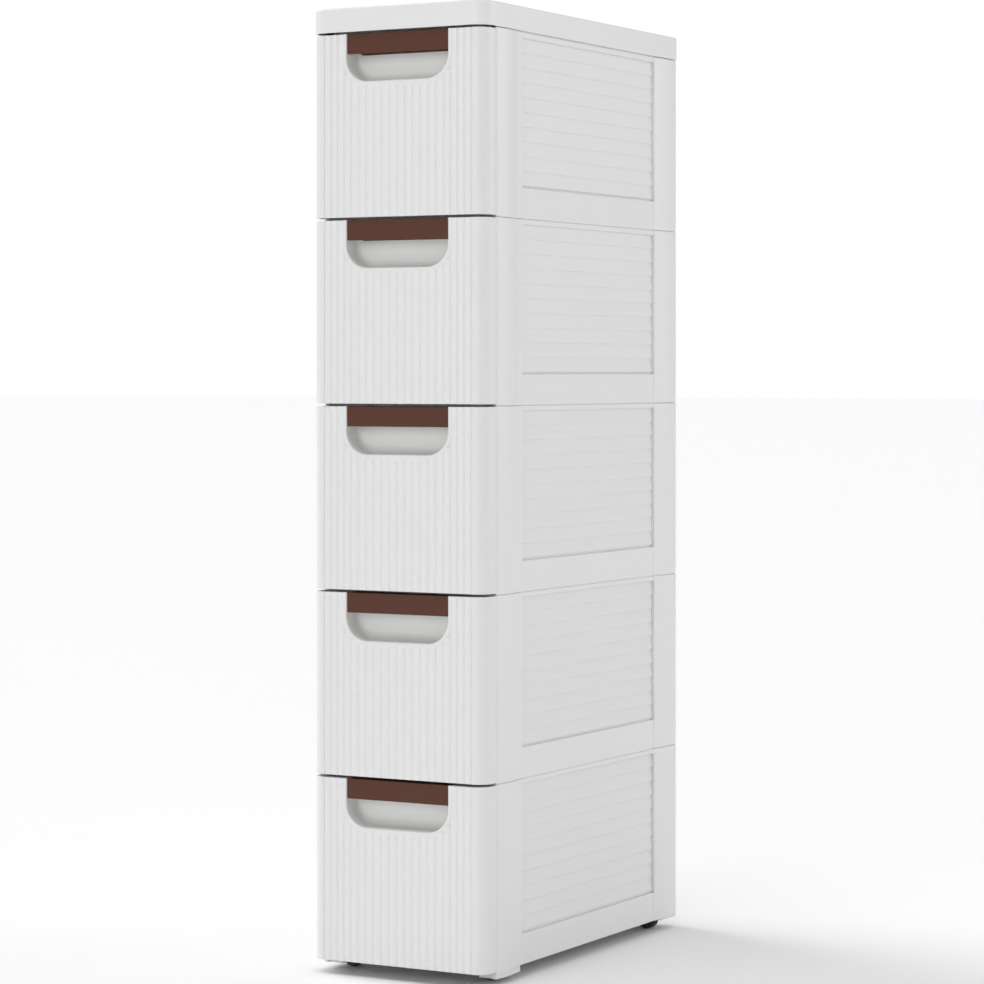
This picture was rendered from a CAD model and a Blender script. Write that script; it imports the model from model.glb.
"""Looks of a slim drawer tower with reeded fronts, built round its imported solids, in metres.

+Z is up, the drawers pull out towards -Y, and +X is to the right seen from the front. Each class below
is one sub-assembly: it holds its sizes, shapes its meshes, dresses them and sets them on their bodies.
"""

import logging
from collections.abc import Sequence
from dataclasses import dataclass
from enum import Enum
from math import asin, cos, degrees, pi, radians, sin, sqrt

import bmesh
import bpy
from mathutils import Matrix, Vector


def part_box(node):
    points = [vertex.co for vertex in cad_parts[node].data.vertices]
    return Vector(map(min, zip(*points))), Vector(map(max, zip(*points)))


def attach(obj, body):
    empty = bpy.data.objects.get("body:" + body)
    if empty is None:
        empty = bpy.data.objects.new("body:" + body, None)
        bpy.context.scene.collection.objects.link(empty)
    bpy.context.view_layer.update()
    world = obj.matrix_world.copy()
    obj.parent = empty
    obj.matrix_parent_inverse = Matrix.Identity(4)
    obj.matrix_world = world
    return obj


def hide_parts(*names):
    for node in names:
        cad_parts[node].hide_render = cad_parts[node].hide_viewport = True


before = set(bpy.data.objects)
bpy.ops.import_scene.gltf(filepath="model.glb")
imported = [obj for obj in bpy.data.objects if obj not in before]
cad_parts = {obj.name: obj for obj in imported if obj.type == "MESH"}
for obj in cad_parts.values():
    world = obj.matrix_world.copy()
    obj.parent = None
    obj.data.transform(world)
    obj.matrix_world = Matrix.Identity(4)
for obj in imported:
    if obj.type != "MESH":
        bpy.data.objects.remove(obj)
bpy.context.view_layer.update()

log = logging.getLogger("tower")

Point = tuple[float, float]
Level = tuple[float, float]
Colour = tuple[float, float, float]

FRONT_STEPS = 14  # Chords in the round of a front corner
BACK_STEPS = 12  # Chords in the round of a back corner
SHARPEST = 0.4  # Least divisor of an inset corner, so that a sharp one doesn't shoot out
SUPPORT = 1.6  # Distance of a support level from its edge, in radii of the edge
OVER = 0.001  # How far a cutting body reaches past what it cuts
CLEAR = 0.01  # How far it stands out of an open end
MERGE = 1e-6  # Distance within which corners are one
FLAT = 1.0  # Angle within which neighbouring faces are one flat, in degrees


class Side(Enum):
    """Side of the tower, with the sign of its X."""

    LEFT = -1
    RIGHT = 1

    @property
    def word(self) -> str:
        """The side as it stands in node names."""
        return self.name.lower()


class Slot(Enum):
    """Material slots of the record."""

    COVER = "cover"
    FRAME = "frame"
    BASE = "base"
    FACE = "drawer_face"
    TUB = "tub"
    HANDLE = "handle"
    METAL = "caster_metal"
    TREAD = "caster_tread"


# ---- plane outlines ----


def arc(cx: float, cy: float, r: float, start: float, end: float, steps: int) -> list[Point]:
    """Points on a circle from one angle to another.

    Args:
        cx, cy: Centre.
        r: Radius.
        start, end: Angles in degrees, anticlockwise from +X.
        steps: Number of chords.

    Returns:
        steps + 1 points, both ends included.
    """
    turn = [radians(start + (end - start) * i / steps) for i in range(steps + 1)]
    return [(cx + r * cos(a), cy + r * sin(a)) for a in turn]


def quarter(steps: int) -> list[float]:
    """Angles of a quarter turn in equal steps, both ends included, in radians."""
    return [pi / 2 * i / steps for i in range(steps + 1)]


def round_plan(half: float, y0: float, y1: float, r_front: float, r_back: float) -> list[Point]:
    """Closed plan of a box with rounded upright corners, anticlockwise.

    Args:
        half: Half the width.
        y0, y1: Front and back.
        r_front, r_back: Corner radii.

    Returns:
        The outline's points.
    """
    return (arc(half - r_front, y0 + r_front, r_front, -90, 0, FRONT_STEPS)
            + arc(half - r_back, y1 - r_back, r_back, 0, 90, BACK_STEPS)
            + arc(-half + r_back, y1 - r_back, r_back, 90, 180, BACK_STEPS)
            + arc(-half + r_front, y0 + r_front, r_front, 180, 270, FRONT_STEPS))


def inset(outline: Sequence[Point], depth: float) -> list[Point]:
    """Moves a closed anticlockwise outline inwards.

    Args:
        outline: The points.
        depth: Distance to move each edge.

    Returns:
        As many points, in the same order.
    """
    moved = []
    for i, (x, y) in enumerate(outline):
        px, py = outline[i - 1]
        qx, qy = outline[(i + 1) % len(outline)]
        before = Vector((y - py, px - x)).normalized()
        after = Vector((qy - y, x - qx)).normalized()
        push = (before + after) * (depth / max(SHARPEST, 1 + before.dot(after)))
        moved.append((x - push.x, y - push.y))
    return moved


def round_levels(low: float, high: float, r_low: float, r_high: float, steps: int = 4) -> list[Level]:
    """Levels of an upright wall with rounded lower and upper edges.

    A level is an inset and a height. A support level next to each round keeps the wall's shading flat.

    Args:
        low, high: Lowest and highest height.
        r_low, r_high: Radii of the edges.
        steps: Chords in each round.

    Returns:
        Levels from low to high.
    """
    turn = quarter(steps)
    return ([(r_low * (1 - sin(a)), low + r_low * (1 - cos(a))) for a in turn]
            + [(0.0, low + SUPPORT * r_low), (0.0, high - SUPPORT * r_high)]
            + [(r_high * (1 - cos(a)), high - r_high * (1 - sin(a))) for a in turn])


def segment_radius(chord: float, rise: float) -> float:
    """Radius of the circle that rises so far over a chord."""
    return (chord * chord / 4 + rise * rise) / (2 * rise)


# ---- meshes ----


def loft(rings: Sequence[Sequence[Vector]], closed: bool = True, low_cap: bool = True,
         high_cap: bool = True) -> bmesh.types.BMesh:
    """Skins rings of equal count.

    Args:
        rings: Rings of points, anticlockwise seen from where they lead.
        closed: Whether each ring closes on itself.
        low_cap: Whether the first ring gets a face.
        high_cap: Whether the last ring gets a face.

    Returns:
        The new body.
    """
    body = bmesh.new()
    rows = [[body.verts.new(p) for p in ring] for ring in rings]
    count = len(rows[0])
    for low, high in zip(rows, rows[1:]):
        for i in range(count if closed else count - 1):
            j = (i + 1) % count
            body.faces.new((low[i], low[j], high[j], high[i]))
    if low_cap:
        body.faces.new(rows[0][::-1])
    if high_cap:
        body.faces.new(rows[-1])
    return body


def upright(outline: Sequence[Point], levels: Sequence[Level]) -> bmesh.types.BMesh:
    """Closed body over a plan, skinned through levels of inset and height."""
    return loft([[Vector((x, y, z)) for x, y in inset(outline, depth)] for depth, z in levels])


def block(low: Sequence[float], high: Sequence[float], soft: float = 0.0) -> bmesh.types.BMesh:
    """Box with rounded edges.

    Args:
        low, high: Opposite corners.
        soft: Radius of its edges, or 0 for sharp ones.

    Returns:
        The new body.
    """
    x0, x1 = sorted((low[0], high[0]))
    outline = [(x0, low[1]), (x1, low[1]), (x1, high[1]), (x0, high[1])]
    body = upright(outline, [(0, low[2]), (0, high[2])])
    if soft:
        bmesh.ops.bevel(body, geom=body.edges[:], offset=soft, segments=3, profile=0.5, affect="EDGES")
    return body


def put(name: str, data: bpy.types.ID) -> bpy.types.Object:
    """Puts a new object at the origin.

    Args:
        name: Its name.
        data: Its mesh, light or camera.

    Returns:
        The object.
    """
    made = bpy.data.objects.new(name, data)
    bpy.context.scene.collection.objects.link(made)
    return made


def settle(name: str, body: bmesh.types.BMesh) -> bpy.types.Object:
    """Turns a body into an object, with its faces as they are.

    Args:
        name: Name of the object.
        body: The body, which is used up.

    Returns:
        The object.
    """
    mesh = bpy.data.meshes.new(name)
    body.to_mesh(mesh)
    body.free()
    return put(name, mesh)


def make_object(name: str, body: bmesh.types.BMesh) -> bpy.types.Object:
    """Turns a body into an object. The faces of a closed one are made to point outwards.

    Args:
        name: Name of the object.
        body: The body, which is used up.

    Returns:
        The object.
    """
    if all(edge.is_manifold for edge in body.edges):
        bmesh.ops.recalc_face_normals(body, faces=body.faces[:])
    return settle(name, body)


def bake(made: bpy.types.Object) -> bpy.types.Object:
    """Turns an object's modifiers into plain mesh.

    Args:
        made: The object to change.

    Returns:
        The same object.
    """
    graph = bpy.context.evaluated_depsgraph_get()
    mesh = bpy.data.meshes.new_from_object(made.evaluated_get(graph))
    made.modifiers.clear()
    old, made.data = made.data, mesh
    mesh.name = made.name
    if old.users == 0:
        bpy.data.meshes.remove(old)
    return made


def carve(made: bpy.types.Object, tools: Sequence[bmesh.types.BMesh]) -> None:
    """Cuts bodies out of an object.

    Args:
        made: The object to change.
        tools: Closed bodies, which are used up.
    """
    cutters = [make_object("tool", tool) for tool in tools]
    for cutter in cutters:
        step = made.modifiers.new("carve", "BOOLEAN")
        step.operation, step.solver, step.object = "DIFFERENCE", "EXACT", cutter
    bake(made)
    for cutter in cutters:
        bpy.data.objects.remove(cutter)


def join(name: str, *parts: bpy.types.Object) -> bpy.types.Object:
    """Joins objects' meshes.

    Args:
        name: Name of the new object.
        *parts: The objects, which are used up.

    Returns:
        One object with all their faces.
    """
    body = bmesh.new()
    for part in parts:
        body.from_mesh(part.data)
        bpy.data.objects.remove(part)
    return settle(name, body)


def soften(made: bpy.types.Object, width: float, angle: float = 50.0, steps: int = 2) -> None:
    """Rounds an object's sharp edges and keeps its flats flat.

    Args:
        made: The object to change.
        width: Width of the round.
        angle: Least angle of an edge that counts as sharp, in degrees.
        steps: Chords in the round.
    """
    made.data.shade_smooth()
    edge = made.modifiers.new("soften", "BEVEL")
    edge.limit_method, edge.angle_limit = "ANGLE", radians(angle)
    edge.width, edge.segments = width, steps
    edge.use_clamp_overlap = False
    even = made.modifiers.new("even", "WEIGHTED_NORMAL")
    even.weight, even.keep_sharp = 100, True
    bake(made)


def smooth(made: bpy.types.Object, angle: float = 40.0) -> None:
    """Shades an object smoothly, with hard lines where it turns by more than an angle in degrees."""
    made.data.shade_smooth()
    made.data.set_sharp_from_angle(angle=radians(angle))


def refined_copy(node: str, width: float) -> bpy.types.Object:
    """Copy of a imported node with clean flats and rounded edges.

    Args:
        node: The node's name.
        width: Width of the rounds.

    Returns:
        A new object.
    """
    body = bmesh.new()
    body.from_mesh(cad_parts[node].data)
    bmesh.ops.remove_doubles(body, verts=body.verts, dist=MERGE)
    bmesh.ops.dissolve_limit(body, angle_limit=radians(FLAT), verts=body.verts, edges=body.edges)
    made = make_object(node + "_look", body)
    soften(made, width)
    return made


# ---- node trees ----


class Wiring:
    """Adds nodes to a tree and wires them by the names of their sockets."""

    def __init__(self, tree: bpy.types.NodeTree) -> None:
        """Works on that tree."""
        self.tree = tree

    def add(self, kind: str, values: dict | None = None, **settings: object) -> bpy.types.Node:
        """Adds a node.

        Args:
            kind: The node's type.
            values: By input name or number, an output socket to wire or a plain value.
            **settings: Attributes of the node.

        Returns:
            The node.
        """
        made = self.tree.nodes.new(kind)
        for key, value in settings.items():
            setattr(made, key, value)
        for key, value in (values or {}).items():
            if isinstance(value, bpy.types.NodeSocket):
                self.tree.links.new(value, made.inputs[key])
            else:
                made.inputs[key].default_value = value
        return made

    def maths(self, operation: str, *values: object) -> bpy.types.NodeSocket:
        """Output of a Math node with those two or three inputs."""
        node = self.add("ShaderNodeMath", dict(enumerate(values)), operation=operation)
        return node.outputs[0]

    def blend(self, share: bpy.types.NodeSocket, first: object, second: object) -> bpy.types.NodeSocket:
        """Mixes two colours.

        Args:
            share: How much of the second there is.
            first: Socket of the first colour.
            second: Socket of the second colour.

        Returns:
            Socket of the mixed colour.
        """
        node = self.add("ShaderNodeMix", {"Factor": share}, data_type="RGBA")
        for key, socket in (("A", first), ("B", second)):
            self.tree.links.new(socket, next(s for s in node.inputs if s.name == key and s.type == "RGBA"))
        return next(s for s in node.outputs if s.type == "RGBA")

    def vector(self, x: object = 0.0, y: object = 0.0, z: object = 0.0) -> bpy.types.NodeSocket:
        """Vector put together from three numbers or sockets."""
        return self.add("ShaderNodeCombineXYZ", {0: x, 1: y, 2: z}).outputs[0]


class GeometryTree:
    """A geometry node tree with named inputs, whose result is kept as a plain mesh."""

    KINDS = {int: "NodeSocketInt", float: "NodeSocketFloat", tuple: "NodeSocketVector",
             bpy.types.Material: "NodeSocketMaterial"}

    def __init__(self, name: str, **inputs: type) -> None:
        """Opens a tree.

        Args:
            name: The tree's name.
            **inputs: Name and type of each input.
        """
        self.group = bpy.data.node_groups.new(name, "GeometryNodeTree")
        self.group.interface.new_socket("Geometry", in_out="OUTPUT", socket_type="NodeSocketGeometry")
        self.sockets = {
            key: self.group.interface.new_socket(key, in_out="INPUT", socket_type=self.KINDS[kind]).identifier
            for key, kind in inputs.items()}
        self.wiring = Wiring(self.group)
        given = self.wiring.add("NodeGroupInput")
        self.input = {key: given.outputs[key] for key in inputs}

    def close(self, shape: bpy.types.NodeSocket) -> None:
        """Ends the tree: instances become real and take the material input.

        Args:
            shape: Socket of the finished shape.
        """
        real = self.wiring.add("GeometryNodeRealizeInstances", {"Geometry": shape})
        dressed = self.wiring.add("GeometryNodeSetMaterial",
                                  {"Geometry": real.outputs[0], "Material": self.input["material"]})
        self.wiring.add("NodeGroupOutput", {"Geometry": dressed.outputs[0]})

    def grow(self, name: str, **values: object) -> bpy.types.Object:
        """Runs the tree.

        Args:
            name: Name of the new object.
            **values: A value for each input.

        Returns:
            An object with a plain mesh.
        """
        made = put(name, bpy.data.meshes.new(name))
        step = made.modifiers.new("grow", "NODES")
        step.node_group = self.group
        for key, value in values.items():
            step[self.sockets[key]] = value
        return bake(made)


# ---- finishes ----


class Effects:
    """Shader node groups that several finishes use."""

    def __init__(self) -> None:
        """Builds both groups once."""
        self.moulding = self._moulding()
        self.wear = self._wear()

    @staticmethod
    def _group(name: str, inputs: dict[str, tuple[str, object]], outputs: dict[str, str]
               ) -> tuple[bpy.types.NodeTree, Wiring, dict[str, bpy.types.NodeSocket]]:
        """Opens a shader group with named sockets.

        Args:
            name: The group's name.
            inputs: Kind and value of each input.
            outputs: Kind of each output.

        Returns:
            The group, its wiring and the sockets that its inputs come in by.
        """
        group = bpy.data.node_groups.new(name, "ShaderNodeTree")
        for key, (kind, value) in inputs.items():
            socket = group.interface.new_socket(key, in_out="INPUT", socket_type=kind)
            socket.default_value = value
        for key, kind in outputs.items():
            group.interface.new_socket(key, in_out="OUTPUT", socket_type=kind)
        wiring = Wiring(group)
        given = wiring.add("NodeGroupInput")
        return group, wiring, {key: given.outputs[key] for key in inputs}

    def _moulding(self) -> bpy.types.NodeTree:
        """Surface of a moulded or cast piece: slow drift of tone, flow marks and fine grain.

        Returns:
            A group that puts out a colour, a roughness and a height.
        """
        group, wiring, given = self._group(
            "moulded_surface",
            {"Tone": ("NodeSocketColor", (1, 1, 1, 1)), "Shade": ("NodeSocketColor", (0, 0, 0, 1)),
             "Drift": ("NodeSocketFloat", 0.1), "Roughness": ("NodeSocketFloat", 0.5),
             "Grain Scale": ("NodeSocketFloat", 1500.0), "Flow": ("NodeSocketFloat", 0.2)},
            {"Colour": "NodeSocketColor", "Roughness": "NodeSocketFloat", "Height": "NodeSocketFloat"})
        flow_share = 0.45
        place = wiring.add("ShaderNodeTexCoord").outputs["Object"]
        broad = wiring.add("ShaderNodeTexNoise", {"Vector": place, "Scale": 7.0, "Detail": 3.0})
        long = wiring.add("ShaderNodeVectorMath", {0: place, 1: (38.0, 38.0, 5.0)}, operation="MULTIPLY")
        flow = wiring.add("ShaderNodeTexNoise", {"Vector": long.outputs[0], "Scale": 1.0, "Detail": 4.0})
        grain = wiring.add("ShaderNodeTexNoise",
                           {"Vector": place, "Scale": given["Grain Scale"], "Detail": 2.0})
        mottle = wiring.maths("MULTIPLY_ADD", flow.outputs["Fac"], flow_share, wiring.maths(
            "MULTIPLY", broad.outputs["Fac"], 1 - flow_share))
        share = wiring.maths("MULTIPLY", mottle, given["Drift"])
        colour = wiring.blend(share, given["Tone"], given["Shade"])
        gloss = wiring.maths("MULTIPLY_ADD", wiring.maths("SUBTRACT", flow.outputs["Fac"], 0.5),
                             given["Flow"], given["Roughness"])
        wiring.add("NodeGroupOutput", {"Colour": colour, "Roughness": gloss, "Height": grain.outputs["Fac"]})
        return group

    def _wear(self) -> bpy.types.NodeTree:
        """Edges that handling has rubbed: lighter and smoother, broken up by noise.

        Returns:
            A group that puts out a colour and a roughness.
        """
        group, wiring, given = self._group(
            "edge_wear",
            {"Colour": ("NodeSocketColor", (1, 1, 1, 1)), "Worn": ("NodeSocketColor", (1, 1, 1, 1)),
             "Roughness": ("NodeSocketFloat", 0.5), "Amount": ("NodeSocketFloat", 0.3)},
            {"Colour": "NodeSocketColor", "Roughness": "NodeSocketFloat"})
        polish = 0.15
        place = wiring.add("ShaderNodeTexCoord").outputs["Object"]
        point = wiring.add("ShaderNodeNewGeometry").outputs["Pointiness"]
        edge = wiring.add("ShaderNodeMapRange", {"Value": point, "From Min": 0.52, "From Max": 0.62})
        patch = wiring.add("ShaderNodeTexNoise", {"Vector": place, "Scale": 160.0, "Detail": 5.0})
        share = wiring.maths("MULTIPLY", wiring.maths("MULTIPLY", edge.outputs[0], patch.outputs["Fac"]),
                             given["Amount"])
        colour = wiring.blend(share, given["Colour"], given["Worn"])
        smoother = wiring.maths("MULTIPLY_ADD", share, -polish, given["Roughness"])
        wiring.add("NodeGroupOutput", {"Colour": colour, "Roughness": smoother})
        return group


@dataclass(frozen=True)
class Finish:
    """One finish: a principled surface over the shared effects."""

    slot: Slot
    tone: Colour
    shade: Colour
    worn: Colour
    roughness: float
    drift: float = 0.5
    flow: float = 0.12
    wear: float = 0.5
    grain_scale: float = 1400.0
    grain_depth: float = 0.00002
    grain_strength: float = 0.1
    metallic: float = 0.0
    specular: float = 0.5

    def material(self, effects: Effects) -> bpy.types.Material:
        """Builds the material.

        Args:
            effects: The shared node groups.

        Returns:
            A material named for its slot.
        """
        made = bpy.data.materials.new(self.slot.value)
        made.use_nodes = True
        made.diffuse_color = (*self.tone, 1)
        wiring = Wiring(made.node_tree)
        made.node_tree.nodes.clear()
        mould = wiring.add("ShaderNodeGroup", node_tree=effects.moulding)
        for key, value in (("Tone", (*self.tone, 1)), ("Shade", (*self.shade, 1)), ("Drift", self.drift),
                           ("Roughness", self.roughness), ("Grain Scale", self.grain_scale),
                           ("Flow", self.flow)):
            mould.inputs[key].default_value = value
        rub = wiring.add("ShaderNodeGroup", node_tree=effects.wear)
        rub.inputs["Worn"].default_value = (*self.worn, 1)
        rub.inputs["Amount"].default_value = self.wear
        for key in ("Colour", "Roughness"):
            made.node_tree.links.new(mould.outputs[key], rub.inputs[key])
        bump = wiring.add("ShaderNodeBump", {
            "Height": mould.outputs["Height"], "Strength": self.grain_strength, "Distance": self.grain_depth})
        surface = wiring.add("ShaderNodeBsdfPrincipled", {
            "Base Color": rub.outputs["Colour"], "Roughness": rub.outputs["Roughness"],
            "Normal": bump.outputs["Normal"], "Metallic": self.metallic,
            "Specular IOR Level": self.specular})
        wiring.add("ShaderNodeOutputMaterial", {"Surface": surface.outputs[0]})
        return made


FINISHES = (
    Finish(Slot.COVER, (0.755, 0.755, 0.755), (0.73, 0.73, 0.73), (0.85, 0.85, 0.85), 0.40),
    Finish(Slot.FRAME, (0.75, 0.75, 0.75), (0.725, 0.725, 0.725), (0.84, 0.84, 0.84), 0.36),
    Finish(Slot.BASE, (0.74, 0.74, 0.735), (0.70, 0.70, 0.69), (0.82, 0.82, 0.82), 0.5, drift=0.6),
    Finish(Slot.FACE, (0.74, 0.74, 0.74), (0.715, 0.715, 0.715), (0.84, 0.84, 0.84), 0.38),
    Finish(Slot.TUB, (0.82, 0.835, 0.81), (0.785, 0.80, 0.775), (0.90, 0.90, 0.89), 0.48),
    Finish(Slot.HANDLE, (0.090, 0.029, 0.015), (0.074, 0.023, 0.012), (0.13, 0.065, 0.05), 0.42, drift=0.6,
           wear=0.7, grain_strength=0.2, specular=0.3),
    Finish(Slot.METAL, (0.66, 0.66, 0.67), (0.5, 0.5, 0.51), (0.8, 0.8, 0.8), 0.2, metallic=1.0, flow=0.2),
    Finish(Slot.TREAD, (0.022, 0.022, 0.024), (0.045, 0.044, 0.042), (0.09, 0.088, 0.085), 0.62, flow=0.3,
           grain_scale=900.0, grain_strength=0.35),
)


class Wardrobe:
    """All materials, by slot, and how a piece gets one."""

    def __init__(self) -> None:
        """Builds every material."""
        effects = Effects()
        self.materials = {finish.slot: finish.material(effects) for finish in FINISHES}

    def dress(self, made: bpy.types.Object, slot: Slot, body: str, *nodes: str) -> bpy.types.Object:
        """Gives a piece its finish and sets it on its body.

        Args:
            made: The piece.
            slot: Its finish.
            body: The body that it rides on.
            *nodes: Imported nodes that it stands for.

        Returns:
            The piece.
        """
        made.data.materials.clear()
        made.data.materials.append(self.materials[slot])
        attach(made, body)
        if nodes:
            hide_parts(*nodes)
        log.info("%s rides on %s in %s: %d faces", made.name, body, slot.value, len(made.data.polygons))
        return made

    def dress_each(self, first: bpy.types.Object, slot: Slot, stem: str, lifts: dict[int, float],
                   body: str = "root", node: str | None = None) -> None:
        """Repeats a piece up the tower.

        Args:
            first: The piece, shaped for a height of zero, which is used up.
            slot: Its finish.
            stem: Start of each copy's name, which ends in the tier's number.
            lifts: Height of each copy, by tier.
            body: Body of each copy. A "#" in it stands for the tier's number.
            node: Node that each copy stands for, likewise, or None.
        """
        for number, lift in lifts.items():
            mesh = first.data.copy()
            mesh.transform(Matrix.Translation((0, 0, lift)))
            mesh.name = f"{stem}_{number}"
            stood_for = [node.replace("#", str(number))] if node else []
            self.dress(put(mesh.name, mesh), slot, body.replace("#", str(number)), *stood_for)
        bpy.data.objects.remove(first)


# ---- the tower ----


@dataclass(frozen=True)
class Stack:
    """Sizes that the pieces share."""

    width: float = 0.184
    depth: float = 0.390
    front_y: float = -0.19525  # Y of the drawers' faces
    tier: float = 0.170  # Height from seam to seam
    ground: float = 0.0115  # Height of the lowest seam over the floor
    count: int = 5
    front_wrap: float = 0.022  # How far a drawer front wraps round the sides
    wrap_gap: float = 0.0006  # Gap between that and the side panels
    panel_inset: float = 0.0012  # From the tower's side to the panels' flats
    wall: float = 0.0024
    recess_depth: float = 0.003  # Depth of the slats' recess
    back_space: float = 0.0051  # From the back to the rear end of what stands inside

    @property
    def panel_x(self) -> float:
        """X of the flat of a side panel."""
        return self.width / 2 - self.panel_inset

    @property
    def inner_x(self) -> float:
        """X of the inner side of a side panel."""
        return self.panel_x - self.wall - self.recess_depth

    @property
    def panel_y(self) -> float:
        """Front of the side panels, behind the drawers' faces."""
        return self.front_wrap + self.wrap_gap

    @property
    def lifts(self) -> dict[int, float]:
        """Height of each tier's lower seam, from tier 1, the lowest."""
        return {i: self.ground + (i - 1) * self.tier for i in range(1, self.count + 1)}

    @property
    def inner_back(self) -> float:
        """Back end of what stands inside, in front of the back panels."""
        return self.depth - self.back_space

    def at_front(self, made: bpy.types.Object) -> bpy.types.Object:
        """Moves a mesh measured from the drawers' faces to its place."""
        made.data.transform(Matrix.Translation((0, self.front_y, 0)))
        return made


@dataclass
class TopCover:
    """Hollow slab on top, with rounded corners and a soft upper edge."""

    stack: Stack
    side_over: float = 0.001  # How far it stands out over the sides, the drawers' faces and the back
    front_over: float = 0.0005
    back_over: float = 0.001
    reveal: float = 0.0008  # Gap over the top tier
    height: float = 0.0222
    front_r: float = 0.016
    back_r: float = 0.0045
    edge_r: float = 0.002  # Round of the upper edge
    rim_r: float = 0.0004  # Round of the lower edge
    wall: float = 0.0024
    ceiling_r: float = 0.001  # Slope where the rim meets the ceiling
    lip_h: float = 0.0097  # Depth of the lip that stops the top drawer
    lip_t: float = 0.0024
    lip_in: float = 0.0082
    lip_r: float = 0.0003
    rib_t: float = 0.002
    rib_z: float = 0.0062  # Lower side of the cross ribs
    rib_r: float = 0.0002
    bearer_in: float = 0.004  # From the panels' inner sides to the bearers that stand on them
    bearer_end: float = 0.008
    neck_in: float = 0.0009  # From the panels' flats and the back to the strips in the gap
    neck_t: float = 0.001
    neck_root: float = 0.0012  # How far a strip's root reaches into the rim
    neck_z: float = 0.00005  # Gap under a strip
    neck_step: float = 0.001
    neck_h: float = 0.004

    def neck(self) -> list[bmesh.types.BMesh]:
        """Strips inside the sides and the back that fill the depth of the gap over the top tier.

        Returns:
            A strip and the root that joins it to the rim, for each side and for the back.
        """
        x, y = self.stack.panel_x - self.neck_in, self.stack.depth - self.neck_in
        t, root, y0 = self.neck_t, self.neck_root, self.stack.panel_y + self.neck_t
        low, step, high = self.neck_z, self.reveal + self.neck_step, self.reveal + self.neck_h
        parts = []
        for s in (-1, 1):
            parts.append(block((s * x, y0, low), (s * (x - t), y, high)))
            parts.append(block((s * (x - t), y0, step), (s * (x + root), y, high)))
        parts.append(block((-x, y - t, low), (x, y, high)))
        parts.append(block((-x, y - t, step), (x, y + root, high)))
        return parts

    def shape(self) -> bpy.types.Object:
        """Skins the slab from its inner ceiling round its rim to its top, and adds bearers and lip.

        Returns:
            The cover, measured from the top tier's upper end.
        """
        outline = round_plan(self.stack.width / 2 + self.side_over, -self.front_over,
                             self.stack.depth + self.back_over, self.front_r, self.back_r)
        top = self.reveal + self.height
        ceiling = top - self.wall
        levels = [(self.wall + self.ceiling_r, ceiling), (self.wall, ceiling - self.ceiling_r),
                  (self.wall, self.reveal + self.rim_r), (self.wall - self.rim_r, self.reveal)]
        levels += round_levels(self.reveal, top, self.rim_r, self.edge_r, steps=6)
        slab = make_object("slab", upright(outline, levels))
        y0, y1 = self.stack.panel_y + self.wall, self.stack.inner_back
        x, half, end = self.stack.inner_x - self.bearer_in, self.rib_t / 2, self.bearer_end
        inner = [block((s * x - half, y0 + end, 0), (s * x + half, y1 - end, ceiling), self.rib_r)
                 for s in (-1, 1)]
        inner += [block((-x, y, self.rib_z), (x, y + self.rib_t, ceiling), self.rib_r)
                  for y in (y0, y1 - self.rib_t)]
        lip_x = self.stack.inner_x - self.lip_in
        inner.append(block((-lip_x, y0, -self.lip_h), (lip_x, y0 + self.lip_t, ceiling), self.lip_r))
        made = join("top_cover_look", slab, *[make_object("bearer", b) for b in inner + self.neck()])
        smooth(made)
        return made

    def build(self, wardrobe: Wardrobe) -> None:
        """Makes the cover and sets it on the stack.

        Args:
            wardrobe: The finishes.
        """
        made = self.stack.at_front(self.shape())
        height = self.stack.ground + self.stack.count * self.stack.tier
        made.data.transform(Matrix.Translation((0, 0, height)))
        wardrobe.dress(made, Slot.COVER, "root", "top_cover")


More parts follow.
